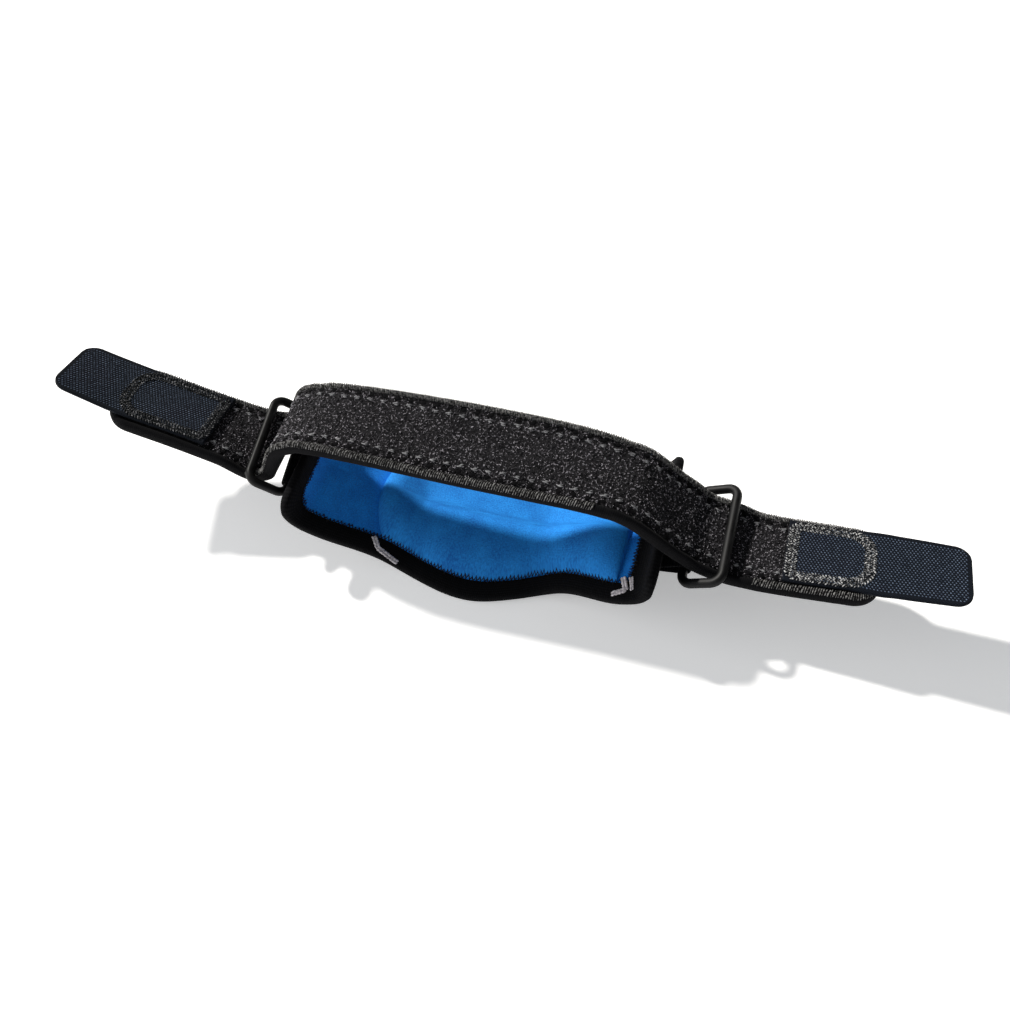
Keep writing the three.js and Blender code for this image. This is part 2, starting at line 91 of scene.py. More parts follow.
def lightStudio():
    scene = bpy.context.scene
    scene.view_settings.view_transform = "Standard"
    scene.view_settings.look = "None"
    sun = bpy.data.objects.new("sun", bpy.data.lights.new("sun", "SUN"))
    sun.data.energy = studio["sunStrength"]
    sun.data.angle = math.radians(studio["sunAngle"])
    sun.data.color = (1.0, 0.97, 0.92)
    sun.rotation_euler = Vector(studio["sunFrom"]).to_track_quat("Z", "Y").to_euler()
    scene.collection.objects.link(sun)
    for place, power in studio["softboxes"]:
        softbox = bpy.data.objects.new("softbox", bpy.data.lights.new("softbox", "AREA"))
        softbox.data.energy = power
        softbox.data.size = studio["softboxSize"]
        softbox.location = Vector(place)
        softbox.rotation_euler = Vector(place).to_track_quat("Z", "Y").to_euler()
        scene.collection.objects.link(softbox)
    world = bpy.data.worlds.new("sky")
    world.use_nodes = True
    world.node_tree.nodes["Background"].inputs["Color"].default_value = (*studio["skyColor"], 1)
    world.node_tree.nodes["Background"].inputs["Strength"].default_value = studio["skyStrength"]
    scene.world = world
    bm = bmesh.new()
    bmesh.ops.create_grid(bm, x_segments=1, y_segments=1, size=studio["floorSize"] / 2)
    mesh = bpy.data.meshes.new("floor")
    bm.to_mesh(mesh)
    bm.free()
    floor = bpy.data.objects.new("floor", mesh)
    paper = bpy.data.materials.new("floorPaper")
    paper.use_nodes = True
    shader = paper.node_tree.nodes["Principled BSDF"]
    shader.inputs["Base Color"].default_value = (*studio["floorColor"], 1)
    shader.inputs["Roughness"].default_value = 0.9
    shader.inputs["Emission Color"].default_value = (1, 1, 1, 1)
    shader.inputs["Emission Strength"].default_value = studio["floorGlow"]
    mesh.materials.append(paper)
    scene.collection.objects.link(floor)


# Materials, on the cloth's own coordinates in millimetres
def newMaterial(name, roughness, sockets):
    material = bpy.data.materials.new(name)
    material.use_nodes = True
    shader = material.node_tree.nodes["Principled BSDF"]
    shader.inputs["Roughness"].default_value = roughness
    for socket, value in sockets.items():
        shader.inputs[socket].default_value = value
    return material, material.node_tree, shader


def addNode(tree, kind, inputs, **settings):
    node = tree.nodes.new(kind)
    for key, value in settings.items():
        setattr(node, key, value)
    for key, value in inputs.items():
        if hasattr(value, "is_output"):
            tree.links.new(value, node.inputs[key])
        else:
            node.inputs[key].default_value = value
    return node


def clothPlace(tree, turn=0):
    place = addNode(tree, "ShaderNodeUVMap", {}, uv_map="cloth").outputs["UV"]
    return addNode(tree, "ShaderNodeMapping", {
        "Vector": place, "Rotation": (0, 0, math.radians(turn))}).outputs["Vector"]


def colorSteps(tree, factor, *steps):
    ramp = addNode(tree, "ShaderNodeValToRGB", {"Fac": factor})
    while len(ramp.color_ramp.elements) < len(steps):
        ramp.color_ramp.elements.new(0.5)
    for element, (position, color) in zip(ramp.color_ramp.elements, steps):
        element.position = position
        element.color = (*color, 1)
    return ramp.outputs["Color"]


def combine(tree, operation, first, second):
    return addNode(tree, "ShaderNodeMath", {0: first, 1: second}, operation=operation).outputs[0]


def blendOf(tree, first, second, share):
    return combine(tree, "ADD", combine(tree, "MULTIPLY", first, 1 - share),
                   combine(tree, "MULTIPLY", second, share))


def grain(tree, place, scale, detail=3.0, roughness=0.6):
    return addNode(tree, "ShaderNodeTexNoise", {
        "Vector": place, "Scale": scale, "Detail": detail, "Roughness": roughness}).outputs["Fac"]


def ribs(tree, place, pitch, direction, wobble=1.0):
    return addNode(tree, "ShaderNodeTexWave", {
        "Vector": place, "Scale": 0.314 / pitch, "Distortion": wobble, "Detail": 2.0, "Detail Scale": 2.0},
        wave_type="BANDS", bands_direction=direction).outputs["Fac"]


def bumpInto(tree, shader, height, strength, distance):
    bump = addNode(tree, "ShaderNodeBump", {
        "Height": height, "Strength": strength, "Distance": distance * mm})
    tree.links.new(bump.outputs["Normal"], shader.inputs["Normal"])


def brushedKnit(name, deep, bright):
    material, tree, shader = newMaterial(name, 0.85, {
        "Sheen Weight": 0.3, "Sheen Roughness": 0.5, "Sheen Tint": (*bright, 1), "Specular IOR Level": 0.2})
    place = clothPlace(tree)
    fuzz = grain(tree, place, 1.3, 4.0, 0.75)
    cloudy = grain(tree, place, 0.06)
    knit = combine(tree, "MULTIPLY", ribs(tree, place, 0.8, "X"), ribs(tree, place, 0.7, "Y"))
    middle = tuple((a + b) / 2 for a, b in zip(deep, bright))
    color = colorSteps(tree, blendOf(tree, fuzz, cloudy, 0.35), (0.38, deep), (0.5, middle), (0.62, bright))
    tree.links.new(color, shader.inputs["Base Color"])
    bumpInto(tree, shader, blendOf(tree, fuzz, knit, 0.35), 0.55, 0.3)
    return material


def loopPileFinish():
    material, tree, shader = newMaterial("loopPile", 0.95, {
        "Sheen Weight": 0.05, "Sheen Roughness": 0.6, "Specular IOR Level": 0.1})
    place = clothPlace(tree)
    curl = grain(tree, place, 1.7, 4.0, 0.8)
    dust = grain(tree, place, 0.09, 2.0, 0.5)
    color = colorSteps(tree, blendOf(tree, curl, dust, 0.25), (0.4, (0.002, 0.002, 0.003)),
                       (0.54, (0.007, 0.0065, 0.008)), (0.68, (0.03, 0.028, 0.031)))
    tree.links.new(color, shader.inputs["Base Color"])
    bumpInto(tree, shader, curl, 0.9, 0.6)
    return material


def darkCloth(name, dark, light, pitch=0.8, turn=0, roughness=0.9, strength=0.5):
    material, tree, shader = newMaterial(name, roughness, {
        "Sheen Weight": 0.01, "Sheen Roughness": 0.5, "Specular IOR Level": 0.06})
    place = clothPlace(tree, turn)
    warp = ribs(tree, place, pitch, "X", 0.5)
    weft = ribs(tree, place, pitch * 0.85, "Y", 0.5)
    weave = combine(tree, "MULTIPLY", warp, weft)
    mixed = blendOf(tree, weave, grain(tree, place, 1.6, 3.0, 0.7), 0.5)
    tree.links.new(colorSteps(tree, mixed, (0.25, dark), (0.75, light)), shader.inputs["Base Color"])
    bumpInto(tree, shader, mixed, strength, 0.3)
    return material


def threadFinish(name, dark, light, roughness=0.7, steps=(0.35, 0.7)):
    material, tree, shader = newMaterial(name, roughness, {
        "Sheen Weight": 0.04, "Sheen Roughness": 0.4, "Specular IOR Level": 0.1})
    place = addNode(tree, "ShaderNodeTexCoord", {}).outputs["Object"]
    fibres = grain(tree, place, 900.0, 3.0, 0.7)
    color = colorSteps(tree, fibres, (steps[0], dark), (steps[1], light))
    tree.links.new(color, shader.inputs["Base Color"])
    bumpInto(tree, shader, fibres, 0.5, 0.15)
    return material


def mouldedPlastic():
    material, tree, shader = newMaterial("mouldedPlastic", 0.5, {"Specular IOR Level": 0.14})
    place = addNode(tree, "ShaderNodeTexCoord", {}).outputs["Object"]
    scuffs = grain(tree, place, 160.0, 5.0, 0.65)
    tree.links.new(colorSteps(tree, scuffs, (0.4, (0.002, 0.002, 0.002)), (0.75, (0.007, 0.007, 0.008))),
                   shader.inputs["Base Color"])
    gloss = addNode(tree, "ShaderNodeMapRange", {"Value": scuffs, "To Min": 0.4, "To Max": 0.6})
    tree.links.new(gloss.outputs["Result"], shader.inputs["Roughness"])
    bumpInto(tree, shader, grain(tree, place, 700.0, 2.0, 0.5), 0.25, 0.08)
    return material


finish = {
    "lining": brushedKnit("royalKnit", (0.003, 0.1, 0.45), (0.014, 0.27, 0.85)),
    "pocket": brushedKnit("tealKnit", (0.003, 0.095, 0.36), (0.016, 0.245, 0.7)),
    "shell": darkCloth("shellKnit", (0.002, 0.002, 0.002), (0.009, 0.009, 0.01)),
    "tape": darkCloth("foldedTape", (0.0015, 0.0015, 0.002), (0.007, 0.007, 0.008), 0.9),
    "webbing": darkCloth("flatWebbing", (0.002, 0.002, 0.003), (0.01, 0.01, 0.011), 1.3, 0, 0.8, 0.8),
    "pile": loopPileFinish(),
    "loops": threadFinish("pileFibre", (0.003, 0.003, 0.004), (0.5, 0.475, 0.52), 0.85, (0.5, 0.7)),
    "edge": threadFinish("overlockThread", (0.006, 0.006, 0.006), (0.3, 0.295, 0.29), 0.85, (0.42, 0.72)),
    "thread": threadFinish("blackThread", (0.002, 0.002, 0.003), (0.011, 0.011, 0.012)),
    # Pale colour for the lumps over the pocket's corners
    "paleMark": threadFinish("paleMarkFinish", (0.25, 0.23, 0.25), (0.85, 0.8, 0.82)),
    "sewing": threadFinish("shinyThread", (0.03, 0.03, 0.034), (0.3, 0.3, 0.31), 0.5),
    # Painted shade: a darker copy of the speckled stitch thread, for the left tab
    "paintedShadeSpeckle": threadFinish(
        "paintedShadeThread", (0.003, 0.004, 0.005), (0.26, 0.26, 0.27), 0.6, (0.53, 0.68)),
    "speckle": threadFinish("speckledThread", (0.004, 0.005, 0.007), (0.5, 0.5, 0.5), 0.6, (0.48, 0.64)),
    "hooks": threadFinish("hookNylon", (0.012, 0.018, 0.032), (0.13, 0.17, 0.245), 0.5),
    "hookBase": darkCloth("hookWeave", (0.002, 0.003, 0.005), (0.008, 0.011, 0.018), 0.9, 45, 0.7),
    "plastic": mouldedPlastic(),
}
print("materials made:", len(finish))


# From a flat bmesh to a finished piece
def mix(low, high, share):
    return low + (high - low) * share


def smoothStep(low, high, value):
    share = min(1.0, max(0.0, (value - low) / (high - low)))
    return share * share * (3 - 2 * share)


def bend(bm, place):
    for vert in bm.verts:
        vert.co = place(*vert.co)


def asMesh(bm, name, look):
    bmesh.ops.recalc_face_normals(bm, faces=bm.faces[:])
    bmesh.ops.scale(bm, vec=(mm, mm, mm), verts=bm.verts[:])
    mesh = bpy.data.meshes.new(name)
    bm.to_mesh(mesh)
    bm.free()
    mesh.shade_smooth()
    mesh.materials.append(finish[look])
    piece = bpy.data.objects.new(name, mesh)
    bpy.context.scene.collection.objects.link(piece)
    return piece


def declare(piece, nodes=()):
    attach(piece, "root")
    if nodes:
        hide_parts(*nodes)
    print("piece:", piece.name, len(piece.data.polygons), "faces")
    return piece


# A slab on a grid: outline turns shares of its length and width into a flat place
def slab(columns, rows, outline, bottom, top):
    bm = bmesh.new()
    bmesh.ops.create_grid(bm, x_segments=columns, y_segments=rows, size=1)
    lid = bmesh.ops.extrude_face_region(bm, geom=bm.faces[:])["geom"]
    lidVerts = {item for item in lid if isinstance(item, bmesh.types.BMVert)}
    for vert in bm.verts:
        along, across = outline(vert.co.x, vert.co.y)
        level = top if vert in lidVerts else bottom
        vert.co = (along, across, level(along, across))
    layCloth(bm)
    return bm


def layCloth(bm):
    uv = bm.loops.layers.uv.new("cloth")
    for vert in bm.verts:
        for loop in vert.link_loops:
            loop[uv].uv = (vert.co.x, vert.co.y + math.copysign(vert.co.z, vert.co.y))


# A closed section carried along a length: place turns both shares into a flat place
def tube(lengthSteps, roundSteps, place, girth, isOpen=True):
    bm = bmesh.new()
    bmesh.ops.create_grid(bm, x_segments=lengthSteps, y_segments=roundSteps, size=0.5)
    uv = bm.loops.layers.uv.new("cloth")
    for vert in bm.verts:
        share, turn = vert.co.x + 0.5, vert.co.y + 0.5
        vert.co = place(share, turn)
        for loop in vert.link_loops:
            loop[uv].uv = (vert.co.x, turn * girth)
    bmesh.ops.remove_doubles(bm, verts=bm.verts[:], dist=0.0001)
    if isOpen:
        closeEnds(bm)
    return bm


def closeEnds(bm):
    rim = [edge for edge in bm.edges if edge.is_boundary]
    bmesh.ops.holes_fill(bm, edges=rim, sides=0)


# Repeats what a bmesh holds at a pitch, and adds it to another one
def repeat(bm, count, pitch):
    if count > 1:
        bmesh.ops.spin(bm, geom=bm.verts[:] + bm.edges[:] + bm.faces[:], angle=0, steps=count - 1,
                       axis=(0, 0, 1), cent=(0, 0, 0), dvec=pitch, use_duplicate=True)


def moveInto(target, bm):
    spare = bpy.data.meshes.new("spare")
    bm.to_mesh(spare)
    bm.free()
    target.from_mesh(spare)
    bpy.data.meshes.remove(spare)


# A row of rounded stitches: size is length, width and thickness, turn is from the row's direction
def stitches(target, start, pitch, count, size, turn=0.0, offset=0.0, height=0.0, sides=6, rings=4):
    bm = bmesh.new()
    shape = (Matrix.Translation((start, offset, height)) @ Matrix.Rotation(math.radians(turn), 4, "Z")
             @ Matrix.Diagonal((size[0] / 2, size[1] / 2, size[2] / 2, 1))
             @ Matrix.Rotation(math.pi / 2, 4, "Y"))
    bmesh.ops.create_uvsphere(bm, u_segments=sides, v_segments=rings, radius=1, matrix=shape)
    repeat(bm, count, (pitch, 0, 0))
    moveInto(target, bm)


# Shape of the pad, as the frame's solids have it
padForm = {
    "flatHalf": 24, "bendRadius": 40, "slope": 26, "run": 41, "endRadius": 16, "endSlope": 80, "endWall": 6,
    "lobeHalf": 43, "neckHalf": {-1: 34.8, 1: 31.6}, "endHalf": 37.6, "neckAt": 46, "endAt": 80,
    "corner": 8, "shell": 3.2, "lining": 1.0, "tapeWidth": 9.3, "hemRadius": 10,
}
padMoves = (
    (padForm["flatHalf"], 0),
    (padForm["bendRadius"] * math.radians(padForm["slope"]), padForm["slope"]),
    (padForm["run"], 0),
    (padForm["endRadius"] * math.radians(padForm["endSlope"] - padForm["slope"]),
     padForm["endSlope"] - padForm["slope"]),
    (padForm["endWall"], 0),
)
padHalfLength = sum(length for length, turn in padMoves)
hemAlong = padHalfLength - padForm["tapeWidth"] - padForm["hemRadius"]
hemAcross = padForm["endHalf"] - padForm["tapeWidth"] - padForm["hemRadius"]
liningInset = padForm["tapeWidth"] + gap
liningTop = padForm["shell"] + gap + padForm["lining"]


def walkPad(distance):
    x = z = heading = 0.0
    left = distance
    for length, turn in padMoves:
        step = min(left, length)
        angle = math.radians(turn) * step / length
        chord = step if angle == 0 else step * math.sin(angle / 2) / (angle / 2)
        x += chord * math.cos(heading + angle / 2)
        z += chord * math.sin(heading + angle / 2)
        heading += angle
        left -= step
    return x + left * math.cos(heading), z + left * math.sin(heading), heading


padReach = walkPad(padHalfLength)[0]


def onPad(along, across, height):
    x, z, heading = walkPad(abs(along))
    side = -1 if along < 0 else 1
    return Vector((side * (x - height * math.sin(heading)), across, z + height * math.cos(heading)))


def padHalfWidth(along):
    distance = abs(along)
    neck = padForm["neckHalf"][-1 if along < 0 else 1]
    if distance < padForm["neckAt"]:
        swell = math.cos(math.pi / 2 * distance / padForm["neckAt"]) ** 2
        return mix(neck, padForm["lobeHalf"], swell)
    return mix(neck, padForm["endHalf"], smoothStep(padForm["neckAt"], padForm["endAt"], distance))


def hemHalfWidth(along, inset):
    radius = padForm["tapeWidth"] + padForm["hemRadius"] - inset
    over = max(0.0, abs(along) - hemAlong)
    return padHalfWidth(along) - inset - radius + math.sqrt(max(0.0, radius ** 2 - over ** 2))


# The tape's upper fold is wide across the right end, and ends the lining there
wideFold = {"from": 80, "share": 0.84, "above": 3.4}


def foldReach(along):
    return max(0.0, along - wideFold["from"]) * wideFold["share"]


# Shares of a grid to a flat place inside an outline beside the tape's inner edge
def hemOutline(inset):
    radius = padForm["tapeWidth"] + padForm["hemRadius"] - inset
    straight = hemAlong / (hemAlong + radius * math.pi / 2)

    def outline(share, width):
        part = abs(share)
        if part < straight:
            along = part / straight * hemAlong
        else:
            along = hemAlong + radius * math.sin(math.pi / 2 * (part - straight) / (1 - straight))
        along = math.copysign(along, share)
        return along, width * hemHalfWidth(along, inset)
    return outline


# The tape's way round the pad: pairs of a rim point and a hem point, a step apart along the hem
def rimReach(angle):
    side = padForm["tapeWidth"] + padForm["hemRadius"]
    inner = side - padForm["corner"]
    steep = max(abs(math.sin(angle)), abs(math.cos(angle)))
    shallow = min(abs(math.sin(angle)), abs(math.cos(angle)))
    flat = side / steep
    if flat * shallow <= inner:
        return flat
    middle = inner * (steep + shallow)
    return middle + math.sqrt(middle ** 2 - 2 * inner ** 2 + padForm["corner"] ** 2)


def roundTape():
    pairs = []
    width = padForm["tapeWidth"]

    def addCorner(sideX, sideY, first):
        for i in range(25):
            angle = math.radians(first + 90 * i / 24)
            direction = math.sin(angle), math.cos(angle)
            reach = rimReach(angle)
            centre = sideX * hemAlong, sideY * hemAcross
            pairs.append(tuple(centre[k] + length * direction[k]
                               for length in (reach, padForm["hemRadius"]) for k in (0, 1)))

    for i in range(300):
        along = mix(-hemAlong, hemAlong, i / 300)
        half = padHalfWidth(along)
        pairs.append((along, half, along, half - width))
    addCorner(1, 1, 0)
    addCorner(1, -1, 90)
    for i in range(1, 300):
        along = mix(hemAlong, -hemAlong, i / 300)
        half = padHalfWidth(along)
        pairs.append((along, -half, along, width - half))
    addCorner(-1, -1, 180)
    addCorner(-1, 1, 270)
    return pairs


def evenly(pairs, step, isLoop, measure):
    if isLoop:
        pairs = pairs + pairs[:1]
    marks = [0.0]
    for a, b in zip(pairs, pairs[1:]):
        marks.append(marks[-1] + measure(a, b))
    count = round(marks[-1] / step)
    even = []
    at = 0
    for i in range(count if isLoop else count + 1):
        distance = marks[-1] * i / count
        while at < len(pairs) - 2 and marks[at + 1] < distance:
            at += 1
        share = (distance - marks[at]) / max(1e-9, marks[at + 1] - marks[at])
        even.append(tuple(mix(a, b, share) for a, b in zip(pairs[at], pairs[at + 1])))
    return even, marks[-1]


tapeTable, tapeLength = evenly(roundTape(), 0.5, True, lambda a, b: math.dist(a[2:], b[2:]))


def besideTape(station, inset, isUpper=False):
    place = station / tapeLength * len(tapeTable)
    share = place - math.floor(place)
    before = tapeTable[math.floor(place) % len(tapeTable)]
    after = tapeTable[(math.floor(place) + 1) % len(tapeTable)]
    rimX, rimY, hemX, hemY = (mix(a, b, share) for a, b in zip(before, after))
    inwards = inset / padForm["tapeWidth"]
    along = mix(rimX, hemX, inwards)
    if isUpper:
        along -= min(1.0, max(0.0, inwards)) * foldReach(hemX)
    return along, mix(rimY, hemY, inwards)


def onTape(station, inset, height):
    along, across = besideTape(station, inset, height > wideFold["above"])
    return onPad(along, across, height)


print("tape round the pad:", round(tapeLength), "mm along its hem")


# Pad: black shell, blue lining, pocket
def makeShell():
    bm = slab(150, 50, hemOutline(liningInset), lambda x, y: 0.0, lambda x, y: padForm["shell"])
    bend(bm, onPad)
    return declare(asMesh(bm, "padShell", "shell"), ["pad_shell"])


lining = {"rumple": 0.35, "rumpleSize": 17.0, "edgeDip": 0.25}


def makeLining():
    def top(along, across):
        fromSide = hemHalfWidth(along, liningInset) - abs(across)
        fromHem = min(fromSide, padHalfLength - liningInset - abs(along))
        rumple = noise.noise(Vector((along, across, 3)) / lining["rumpleSize"]) * lining["rumple"]
        dip = lining["edgeDip"] * (1 - smoothStep(0, 3, fromHem))
        return liningTop + rumple * smoothStep(0, 6, fromHem) - dip

    bm = slab(220, 76, hemOutline(liningInset - 0.1), lambda x, y: padForm["shell"] + gap, top)
    bend(bm, lambda along, across, height: onPad(along - foldReach(along), across, height))
    return declare(asMesh(bm, "padLining", "lining"), ["pad_lining"])


pocket = {
    "reach": {-1: 57, 1: 77}, "endSag": {-1: 9, 1: 1}, "lipRadius": {-1: 9, 1: 20},
    "cover": 1.2, "insert": 6.5, "sideFall": 3,
    "tuckedEdge": 0.35, "pressure": 4.0, "frames": 20, "cap": 1.2,
}
pocketFloor = liningTop + gap


def pocketShape(along, across):
    half = hemHalfWidth(along, liningInset)
    width = min(1.0, abs(across) / max(0.1, half))
    side = -1 if along < 0 else 1
    fromEnd = pocket["reach"][side] - pocket["endSag"][side] * width ** 2 - abs(along)
    return width, fromEnd


def pocketTop(along, across):
    width, fromEnd = pocketShape(along, across)
    lip = 1 - min(1.0, max(0.0, fromEnd) / pocket["lipRadius"][-1 if along < 0 else 1])
    swell = math.sqrt(1 - lip ** 2) * (1 - width ** pocket["sideFall"])
    cover = mix(pocket["cover"], pocket["tuckedEdge"], width ** 10)
    return pocketFloor + cover + pocket["insert"] * swell


def makePocket():
    def pillow(share, width):
        across = math.sin(math.pi / 2 * width)
        side = -1 if share < 0 else 1
        reach = pocket["reach"][side] - pocket["endSag"][side] * across ** 2
        along = math.sin(math.pi / 2 * share) * reach
        return along, across * hemHalfWidth(along, liningInset)

    bm = slab(84, 56, pillow, lambda x, y: pocketFloor, pocketTop)
    isSewn = [vert.co.z < pocketFloor + 1.0 for vert in bm.verts]
    bend(bm, onPad)
    piece = asMesh(bm, "pressurePocket", "pocket")
    inflate(piece, isSewn)
    smooth = piece.modifiers.new("smooth", "SUBSURF")
    smooth.levels = 1
    smooth.render_levels = 1
    declare(piece, ["pressure_pad"])


# Blows the cover up as cloth, held at its seams, and keeps the result
def inflate(piece, isSewn):
    before = [vert.co.copy() for vert in piece.data.vertices]
    group = piece.vertex_groups.new(name="seams")
    group.add([i for i, sewn in enumerate(isSewn) if sewn], 1.0, "REPLACE")
    cloth = piece.modifiers.new("inflate", "CLOTH")
    cloth.settings.use_pressure = True
    cloth.settings.uniform_pressure_force = pocket["pressure"]
    cloth.settings.effector_weights.gravity = 0
    cloth.settings.vertex_group_mass = "seams"
    cloth.point_cache.frame_start = 1
    cloth.point_cache.frame_end = pocket["frames"]
    for number in range(1, pocket["frames"] + 1):
        bpy.context.scene.frame_set(number)
    blown = piece.evaluated_get(bpy.context.evaluated_depsgraph_get()).data
    places = [vert.co.copy() for vert in blown.vertices]
    moved = 0.0
    for vert, start, end in zip(piece.data.vertices, before, places):
        step = end - start
        moved = max(moved, step.length)
        if step.length > pocket["cap"] * mm:
            step *= pocket["cap"] * mm / step.length
        vert.co = start + step
    piece.modifiers.remove(cloth)
    bpy.context.scene.frame_set(1)
    print("pocket blown up, free move", round(moved * 1000, 2), "mm")


# Tape folded over the pad's edge, with its stitches
binding = {
    "stations": 810, "pucker": 0.28, "puckerSize": 3.2, "stitchPitch": 1.8, "stitchDip": 0.2,
    "stitchRows": (((3.0, 0.6, 0.45), 70, 9.6), ((2.4, 0.5, 0.4), -58, 9.5)), "wander": 1.1,
    "top": 4.9, "inner": (1.0, 4.1),
    "section": (
        (9.3, 0.6), (9.0, 0.25), (7.6, 0.12), (5.6, 0.1), (3.6, 0.12), (1.7, 0.2), (0.75, 0.4),
        (0.22, 0.9), (0.02, 1.7), (-0.06, 2.45), (0.02, 3.3), (0.22, 4.0), (0.75, 4.55), (1.7, 4.85),
        (3.2, 5.0), (4.8, 5.05), (6.4, 5.0), (7.6, 4.85), (8.4, 4.75), (9.0, 4.65), (9.3, 4.3),
        (9.3, 3.7), (5.0, 3.55), (1.4, 3.5), (1.2, 2.4), (1.4, 1.45), (5.0, 1.4), (9.3, 1.3)),
}


def hemLevel(station, inset):
    along, across = besideTape(station, inset, True)
    level = liningTop + 0.1
    if pocketShape(along, across)[1] > 0:
        level = max(level, pocketTop(along, across))
    if inset < padForm["tapeWidth"]:
        level = max(level, binding["top"])
    return level


def makeBinding():
    section = binding["section"]
    corners = len(section)

    def place(share, turn):
        station = share * tapeLength
        inset, height = section[round(turn * corners) % corners]
        outside = not binding["inner"][0] <= height <= binding["inner"][1]
        wave = noise.noise(Vector((station / binding["puckerSize"], inset * 0.12, 0 if height > 2 else 9)))
        if outside and inset < 9.2:
            fold = math.sin(math.pi * min(1.0, max(0.0, inset + 1) / 10.3))
            height += math.copysign(wave * binding["pucker"] * fold, height - 2)
            rhythm = 0.5 + 0.5 * math.cos(2 * math.pi * station / binding["stitchPitch"])
            if 7 < inset:
                height -= math.copysign(binding["stitchDip"] * rhythm, height - 2)
        elif inset < 0.3:
            inset += wave * binding["pucker"]
        return Vector((station, inset, height))

    bm = tube(binding["stations"], corners, place, 26.0, isOpen=False)
    bend(bm, onTape)
    bmesh.ops.remove_doubles(bm, verts=bm.verts[:], dist=0.02)
    declare(asMesh(bm, "edgeTape", "tape"), ["pad_binding"])

    count = round(tapeLength / binding["stitchPitch"])
    pitch = tapeLength / count
    bm = bmesh.new()
    for row, (size, turn, inset) in enumerate(binding["stitchRows"]):
        stitches(bm, row * pitch / 2, pitch, count, size, turn, inset)
    for vert in bm.verts:
        vert.co.y += noise.noise(Vector((vert.co.x * 0.37, 0.5, 0.1))) * binding["wander"]
    bend(bm, lambda station, inset, height: onTape(station, inset, hemLevel(station, inset) + height))
    declare(asMesh(bm, "tapeStitches", "thread"))


# Pale rounded lumps in short rows over the pocket's corners on the tape, from one flat place to another
paleMarks = {
    "lines": (
        (-51.8, -26.7, -48.1, -31.4), (-48.1, -31.4, -42.2, -33.0), (-42.2, -33.0, -36.3, -34.5),
        (78.9, -25.8, 81.7, -32.4), (82.9, -25.8, 85.5, -32.5), (81.7, -32.4, 75.3, -34.3)),
    "thread": (1.5, 0.7), "pitch": 1.5, "turn": 20, "side": 0.65, "lift": 0.2,
    "foldFrom": 86, "foldTop": 5.05,
}


def makePaleMarks():
    def level(along, across):
        if abs(across) > hemHalfWidth(along, padForm["tapeWidth"]) or along > paleMarks["foldFrom"]:
            return paleMarks["foldTop"]
        return max(binding["top"], pocketTop(along, across) if pocketShape(along, across)[1] > 0 else 0.0)

    bm = bmesh.new()
    for startX, startY, endX, endY in paleMarks["lines"]:
        row = bmesh.new()
        length = math.dist((startX, startY), (endX, endY))
        count = max(2, round(length / paleMarks["pitch"]))
        pitch = length / count
        for offset in (-paleMarks["side"], paleMarks["side"]):
            stitches(row, pitch / 2, pitch, count, (pitch * 1.6, *paleMarks["thread"]), paleMarks["turn"], offset)
        turned = Matrix.Rotation(math.atan2(endY - startY, endX - startX), 4, "Z")
        bmesh.ops.transform(row, matrix=Matrix.Translation((startX, startY, 0)) @ turned, verts=row.verts[:])
        moveInto(bm, row)
    bend(bm, lambda along, across, height: onPad(
        along, across, level(along, across) + paleMarks["lift"] + height))
    declare(asMesh(bm, "paleCornerMarks", "paleMark"))


# Plastic rings
ringForm = {"wire": 4.2, "slot": 45.2, "pitch": 19, "corner": 5, "squareness": 2.3}
ringPlaces = {
    -1: {"reach": 22.9, "height": 37.3, "tilt": 33, "yaw": 7, "roll": 1},
    1: {"reach": 25.7, "height": 37.2, "tilt": 29, "yaw": 0, "roll": -1},
}


def ringMatrix(side):
    place = ringPlaces[side]
    turn = 0 if side > 0 else 180
    turned = (Matrix.Rotation(math.radians(-place["roll"]), 4, "X")
              @ Matrix.Rotation(math.radians(turn + place["yaw"]), 4, "Z")
              @ Matrix.Rotation(math.radians(-place["tilt"]), 4, "Y"))
    bar = turned @ Vector((ringForm["pitch"] / 2, 0, 0))
    outer = Vector((side * (padReach + place["reach"]), 0, place["height"]))
    return Matrix.Translation(outer - bar) @ turned


ringAt = {side: ringMatrix(side) for side in (-1, 1)}


def barAt(side, end, y):
    start = ringAt[side] @ Vector((end * ringForm["pitch"] / 2, 0, 0))
    step = ringAt[side] @ Vector((end * ringForm["pitch"] / 2, 1, 0)) - start
    return start + step * ((y - start.y) / step.y)


def ringPath():
    radius = ringForm["corner"]
    centreX = ringForm["pitch"] / 2 - radius
    centreY = (ringForm["slot"] + ringForm["wire"]) / 2 - radius
    path = []
    for sideX, sideY, first in ((1, 1, 0), (-1, 1, 90), (-1, -1, 180), (1, -1, 270)):
        for i in range(13):
            angle = math.radians(first + 90 * i / 12)
            direction = math.cos(angle), math.sin(angle)
            path.append((sideX * centreX + radius * direction[0], sideY * centreY + radius * direction[1],
                         direction[0], direction[1]))
    return path


def makeRing(side, name, node):
    path = evenly(ringPath(), 0.8, True, lambda a, b: math.dist(a[:2], b[:2]))[0]
    power = 2 / ringForm["squareness"]

    def place(share, turn):
        x, y, outX, outY = path[round(share * len(path)) % len(path)]
        size = math.hypot(outX, outY)
        angle = 2 * math.pi * turn
        out = math.copysign(abs(math.cos(angle)) ** power, math.cos(angle)) * ringForm["wire"] / 2
        up = math.copysign(abs(math.sin(angle)) ** power, math.sin(angle)) * ringForm["wire"] / 2
        return Vector((x + outX / size * out, y + outY / size * out, up))

    bm = tube(len(path), 24, place, 13.0, isOpen=False)
    bmesh.ops.remove_doubles(bm, verts=bm.verts[:], dist=0.005)
    bmesh.ops.transform(bm, matrix=ringAt[side], verts=bm.verts[:])
    return declare(asMesh(bm, name, "plastic"), [node])


